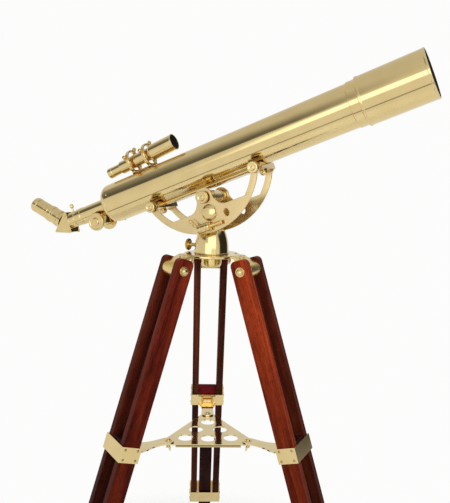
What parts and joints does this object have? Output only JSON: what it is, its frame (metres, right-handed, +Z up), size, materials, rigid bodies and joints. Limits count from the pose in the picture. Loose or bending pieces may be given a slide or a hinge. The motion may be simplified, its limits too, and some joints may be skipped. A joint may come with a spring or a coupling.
{
  "type": "telescope",
  "caption": "Polished brass refracting telescope with finder and diagonal eyepiece on a crescent yoke mount and folding mahogany tripod with tray.",
  "frame": {"origin": "centre of the flat underside of the tripod head, on the azimuth axis", "axes": "+Z up; +Y towards the rear leg; the front of the telescope points to +X and a little to -Y at rest"},
  "size_m": [0.8755, 0.7008, 1.5408],
  "materials": {
    "polished_brass": "polished",
    "mahogany": "gloss varnish",
    "glass": "coated"
  },
  "bodies": {
    "tripod_head": {"tripod_head": "polished_brass", "azimuth_pillar": "polished_brass"},
    "rear_leg": {"rear_leg_left_bar": "mahogany", "rear_leg_right_bar": "mahogany", "rear_leg_spacer_block": "mahogany", "rear_leg_spreader_bracket": "polished_brass", "rear_leg_clamp_collar": "polished_brass", "rear_leg_pivot_bolt": "polished_brass"},
    "rear_extension": {"rear_leg_extension": "mahogany"},
    "rear_clamp_knob": {"rear_leg_clamp_knob": "polished_brass"},
    "rear_arm": {"rear_leg_spreader_arm": "polished_brass"},
    "rear_wing_screw": {"rear_leg_wing_screw": "polished_brass"},
    "right_leg": {"right_leg_left_bar": "mahogany", "right_leg_right_bar": "mahogany", "right_leg_spacer_block": "mahogany", "right_leg_spreader_bracket": "polished_brass", "right_leg_clamp_collar": "polished_brass", "right_leg_pivot_bolt": "polished_brass"},
    "right_extension": {"right_leg_extension": "mahogany"},
    "right_clamp_knob": {"right_leg_clamp_knob": "polished_brass"},
    "right_arm": {"right_leg_spreader_arm": "polished_brass"},
    "right_wing_screw": {"right_leg_wing_screw": "polished_brass"},
    "left_leg": {"left_leg_left_bar": "mahogany", "left_leg_right_bar": "mahogany", "left_leg_spacer_block": "mahogany", "left_leg_spreader_bracket": "polished_brass", "left_leg_clamp_collar": "polished_brass", "left_leg_pivot_bolt": "polished_brass"},
    "left_extension": {"left_leg_extension": "mahogany"},
    "left_clamp_knob": {"left_leg_clamp_knob": "polished_brass"},
    "left_arm": {"left_leg_spreader_arm": "polished_brass"},
    "left_wing_screw": {"left_leg_wing_screw": "polished_brass"},
    "tray": {"accessory_tray": "polished_brass"},
    "azimuth_lock": {"azimuth_lock_screw": "polished_brass"},
    "yoke_carrier": {"yoke_carrier": "polished_brass"},
    "altitude_pivot": {"altitude_pivot_knob": "polished_brass", "altitude_pivot_nut": "polished_brass"},
    "telescope": {"yoke_plate_near": "polished_brass", "yoke_plate_far": "polished_brass", "tube_saddle": "polished_brass", "main_tube": "polished_brass", "objective_lens": "glass", "focuser_body": "polished_brass", "finder_bracket": "polished_brass", "finder_tube": "polished_brass"},
    "altitude_clamp_lever": {"altitude_clamp_lever": "polished_brass"},
    "saddle_bolt_rear": {"saddle_bolt_rear": "polished_brass"},
    "saddle_bolt_front": {"saddle_bolt_front": "polished_brass"},
    "dew_shield": {"dew_shield": "polished_brass"},
    "drawtube": {"drawtube": "polished_brass"},
    "focus_knobs": {"focus_knobs": "polished_brass"},
    "drawtube_lock": {"drawtube_lock_screw": "polished_brass"},
    "diagonal": {"diagonal_prism_body": "polished_brass"},
    "eyepiece": {"eyepiece": "polished_brass"},
    "finder_screw_rear_1": {"finder_screw_rear_1": "polished_brass"},
    "finder_screw_rear_2": {"finder_screw_rear_2": "polished_brass"},
    "finder_screw_rear_3": {"finder_screw_rear_3": "polished_brass"},
    "finder_screw_front_1": {"finder_screw_front_1": "polished_brass"},
    "finder_screw_front_2": {"finder_screw_front_2": "polished_brass"},
    "finder_screw_front_3": {"finder_screw_front_3": "polished_brass"}
  },
  "joints": [
    {"name": "rear_leg_fold", "type": "hinge", "parent": "tripod_head", "child": "rear_leg", "pos_m": [0, 0.0905, 0], "axis": [-1, 0, 0], "range_deg": [0, 15]},
    {"name": "rear_arm_fold", "type": "hinge", "parent": "rear_leg", "child": "rear_arm", "pos_m": [0, 0.18487, -0.38353], "axis": [-1, 0, 0], "range_deg": [0, 72]},
    {"name": "rear_extension_slide", "type": "slide", "parent": "rear_leg", "child": "rear_extension", "axis": [0, 0.3062, -0.952], "range_m": [-0.145, 0.13]},
    {"name": "rear_clamp_knob_turn", "type": "hinge", "parent": "rear_leg", "child": "rear_clamp_knob", "pos_m": [0, 0.34549, -0.6948], "axis": [0, 0.952, 0.3062], "range_deg": [0, 120]},
    {"name": "rear_wing_screw_turn", "type": "hinge", "parent": "tray", "child": "rear_wing_screw", "pos_m": [0, 0.102, -0.39], "axis": [0, 0, 1], "range_deg": [0, 180]},
    {"name": "right_leg_fold", "type": "hinge", "parent": "tripod_head", "child": "right_leg", "pos_m": [0.07838, -0.04525, 0], "axis": [0.5, 0.866, 0], "range_deg": [0, 15]},
    {"name": "right_arm_fold", "type": "hinge", "parent": "right_leg", "child": "right_arm", "pos_m": [0.1601, -0.09243, -0.38353], "axis": [0.5, 0.866, 0], "range_deg": [0, 72]},
    {"name": "right_extension_slide", "type": "slide", "parent": "right_leg", "child": "right_extension", "axis": [0.2652, -0.1531, -0.952], "range_m": [-0.145, 0.13]},
    {"name": "right_clamp_knob_turn", "type": "hinge", "parent": "right_leg", "child": "right_clamp_knob", "pos_m": [0.2992, -0.17275, -0.6948], "axis": [0.8244, -0.476, 0.3062], "range_deg": [0, 120]},
    {"name": "right_wing_screw_turn", "type": "hinge", "parent": "tray", "child": "right_wing_screw", "pos_m": [0.08833, -0.051, -0.39], "axis": [0, 0, 1], "range_deg": [0, 180]},
    {"name": "left_leg_fold", "type": "hinge", "parent": "tripod_head", "child": "left_leg", "pos_m": [-0.07838, -0.04525, 0], "axis": [0.5, -0.866, 0], "range_deg": [0, 15]},
    {"name": "left_arm_fold", "type": "hinge", "parent": "left_leg", "child": "left_arm", "pos_m": [-0.1601, -0.09243, -0.38353], "axis": [0.5, -0.866, 0], "range_deg": [0, 72]},
    {"name": "left_extension_slide", "type": "slide", "parent": "left_leg", "child": "left_extension", "axis": [-0.2652, -0.1531, -0.952], "range_m": [-0.145, 0.13]},
    {"name": "left_clamp_knob_turn", "type": "hinge", "parent": "left_leg", "child": "left_clamp_knob", "pos_m": [-0.2992, -0.17275, -0.6948], "axis": [-0.8244, -0.476, 0.3062], "range_deg": [0, 120]},
    {"name": "left_wing_screw_turn", "type": "hinge", "parent": "tray", "child": "left_wing_screw", "pos_m": [-0.08833, -0.051, -0.39], "axis": [0, 0, 1], "range_deg": [0, 180]},
    {"name": "tray_lowering", "type": "slide", "parent": "tripod_head", "child": "tray", "axis": [0, 0, -1], "range_m": [0, 0.4451]},
    {"name": "azimuth_lock_turn", "type": "hinge", "parent": "tripod_head", "child": "azimuth_lock", "pos_m": [0, 0, 0.0445], "axis": [-0.866, 0.5, 0], "range_deg": [0, 120]},
    {"name": "azimuth", "type": "hinge", "parent": "tripod_head", "child": "yoke_carrier", "pos_m": [0, 0, 0], "axis": [0, 0, 1], "continuous": true},
    {"name": "altitude_pivot_turn", "type": "hinge", "parent": "yoke_carrier", "child": "altitude_pivot", "pos_m": [0, 0, 0.154], "axis": [0.4459, 0.8951, 0], "range_deg": [0, 120]},
    {"name": "altitude", "type": "hinge", "parent": "yoke_carrier", "child": "telescope", "pos_m": [0, 0, 0.154], "axis": [-0.4459, -0.8951, 0], "range_deg": [-25, 26]},
    {"name": "altitude_clamp_turn", "type": "hinge", "parent": "telescope", "child": "altitude_clamp_lever", "pos_m": [-0.0183, -0.054, 0.08946], "axis": [0.4459, 0.8951, 0], "range_deg": [0, 60]},
    {"name": "saddle_bolt_rear_turn", "type": "hinge", "parent": "telescope", "child": "saddle_bolt_rear", "pos_m": [-0.13575, 0.01176, 0.12697], "axis": [-0.4459, -0.8951, 0], "range_deg": [0, 120]},
    {"name": "saddle_bolt_front_turn", "type": "hinge", "parent": "telescope", "child": "saddle_bolt_front", "pos_m": [0.0781, -0.09477, 0.21892], "axis": [-0.4459, -0.8951, 0], "range_deg": [0, 120]},
    {"name": "dew_shield_slide", "type": "slide", "parent": "telescope", "child": "dew_shield", "axis": [0.8354, -0.4161, 0.3592], "range_m": [0, 0.03]},
    {"name": "focus_slide", "type": "slide", "parent": "telescope", "child": "drawtube", "axis": [-0.8354, 0.4161, -0.3592], "range_m": [0, 0.045]},
    {"name": "focus_knob_turn", "type": "hinge", "parent": "telescope", "child": "focus_knobs", "pos_m": [-0.2595, 0.12927, 0.08432], "axis": [-0.4459, -0.8951, 0], "range_deg": [0, 345]},
    {"name": "drawtube_lock_turn", "type": "hinge", "parent": "drawtube", "child": "drawtube_lock", "pos_m": [-0.33765, 0.1682, 0.10375], "axis": [-0.3215, 0.1602, 0.9333], "range_deg": [0, 120]},
    {"name": "diagonal_turn", "type": "hinge", "parent": "drawtube", "child": "diagonal", "pos_m": [-0.35586, 0.17727, 0.07449], "axis": [0.8354, -0.4161, 0.3592], "range_deg": [-90, 90]},
    {"name": "eyepiece_slide", "type": "slide", "parent": "diagonal", "child": "eyepiece", "axis": [-0.818, 0.4075, 0.4059], "range_m": [0, 0.02]},
    {"name": "finder_screw_rear_1_turn", "type": "hinge", "parent": "telescope", "child": "finder_screw_rear_1", "pos_m": [-0.1842, 0.11248, 0.25445], "axis": [-0.0364, 0.6101, 0.7915], "range_deg": [0, 120]},
    {"name": "finder_screw_rear_2_turn", "type": "hinge", "parent": "telescope", "child": "finder_screw_rear_2", "pos_m": [-0.20079, 0.06208, 0.23465], "axis": [-0.5104, -0.8298, 0.2258], "range_deg": [0, 120]},
    {"name": "finder_screw_rear_3_turn", "type": "hinge", "parent": "telescope", "child": "finder_screw_rear_3", "pos_m": [-0.16412, 0.10792, 0.20247], "axis": [0.5373, 0.4799, -0.6936], "range_deg": [0, 120]},
    {"name": "finder_screw_front_1_turn", "type": "hinge", "parent": "telescope", "child": "finder_screw_front_1", "pos_m": [-0.14744, 0.09417, 0.27025], "axis": [-0.0364, 0.6101, 0.7915], "range_deg": [0, 120]},
    {"name": "finder_screw_front_2_turn", "type": "hinge", "parent": "telescope", "child": "finder_screw_front_2", "pos_m": [-0.16404, 0.04377, 0.25045], "axis": [-0.5104, -0.8298, 0.2258], "range_deg": [0, 120]},
    {"name": "finder_screw_front_3_turn", "type": "hinge", "parent": "telescope", "child": "finder_screw_front_3", "pos_m": [-0.12737, 0.08961, 0.21828], "axis": [0.5373, 0.4799, -0.6936], "range_deg": [0, 120]}
  ],
  "couplings": [
    {"joint": "rear_arm_fold", "follows": "rear_leg_fold", "ratio": 4.8},
    {"joint": "right_leg_fold", "follows": "rear_leg_fold", "ratio": 1},
    {"joint": "right_arm_fold", "follows": "rear_leg_fold", "ratio": 4.8},
    {"joint": "left_leg_fold", "follows": "rear_leg_fold", "ratio": 1},
    {"joint": "left_arm_fold", "follows": "rear_leg_fold", "ratio": 4.8},
    {"joint": "tray_lowering", "follows": "rear_leg_fold", "m_per_rad": 1.7},
    {"joint": "focus_knob_turn", "follows": "focus_slide", "rad_per_m": 133}
  ]
}
